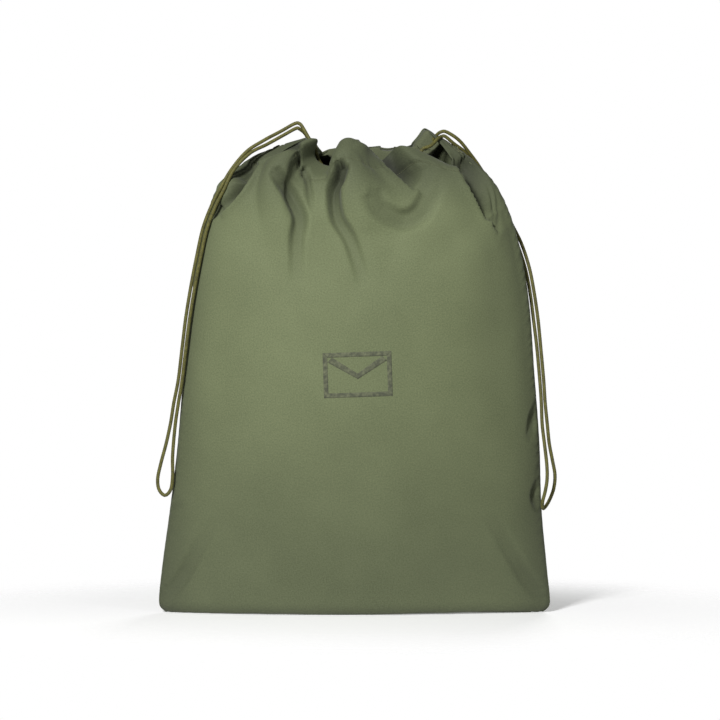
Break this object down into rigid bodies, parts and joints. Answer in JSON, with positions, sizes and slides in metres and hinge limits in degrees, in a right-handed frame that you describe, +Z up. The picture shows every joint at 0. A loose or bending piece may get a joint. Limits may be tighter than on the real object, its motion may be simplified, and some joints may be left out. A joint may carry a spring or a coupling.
{
  "type": "drawstring mail sack",
  "caption": "Filled-out cloth sack with a gathered drawstring mouth, sewn side and bottom seams and a closed braided drawcord looping out at each end of the mouth.",
  "frame": {"origin": "middle of the base, on the surface that the sack stands on, halfway between the widest points of the sack and halfway through its depth, without the cords outside it", "axes": "+Z up from the base to the mouth, +X to the right of a person looking at the printed front, +Y towards the back"},
  "size_m": [0.6196, 0.201, 0.7594],
  "materials": {
    "cloth": "olive-green cotton sateen, soft satin sheen",
    "cloth_inside": "back of the olive-green sateen, matte",
    "thread": "olive sewing thread",
    "braid": "olive-brown round braided cord",
    "ink": "faded dark ink printed into the cloth"
  },
  "bodies": {
    "sack": {"front_panel": "cloth", "back_panel": "cloth", "front_casing": "cloth_inside", "back_casing": "cloth_inside", "left_side_seam": "cloth", "right_side_seam": "cloth", "bottom_seam": "cloth", "left_side_stitching": "thread", "right_side_stitching": "thread", "bottom_stitching": "thread", "front_casing_stitching": "thread", "back_casing_stitching": "thread", "left_bar_tacks": "thread", "right_bar_tacks": "thread", "printed_mark": "ink", "left_cord_far_turn": "braid", "right_cord_far_turn": "braid"},
    "left_cord": {"left_cord_run": "braid", "left_cord_splice": "thread", "left_cord_lead": "braid"},
    "left_loop": {"left_cord_loop": "braid"},
    "right_cord": {"right_cord_run": "braid", "right_cord_splice": "thread", "right_cord_lead": "braid"},
    "right_loop": {"right_cord_loop": "braid"}
  },
  "joints": [
    {"name": "left_cord_pull", "type": "slide", "parent": "sack", "child": "left_cord", "axis": [-1, 0, 0], "range_m": [0, 0.06]},
    {"name": "left_loop_swing", "type": "hinge", "parent": "left_cord", "child": "left_loop", "pos_m": [-0.089, -0.004, 0.753], "axis": [0, 1, 0], "range_deg": [0, 70]},
    {"name": "right_cord_pull", "type": "slide", "parent": "sack", "child": "right_cord", "axis": [1, 0, 0], "range_m": [0, 0.06]},
    {"name": "right_loop_swing", "type": "hinge", "parent": "right_cord", "child": "right_loop", "pos_m": [0.139, 0.003, 0.7415], "axis": [0, -1, 0], "range_deg": [0, 75]}
  ]
}
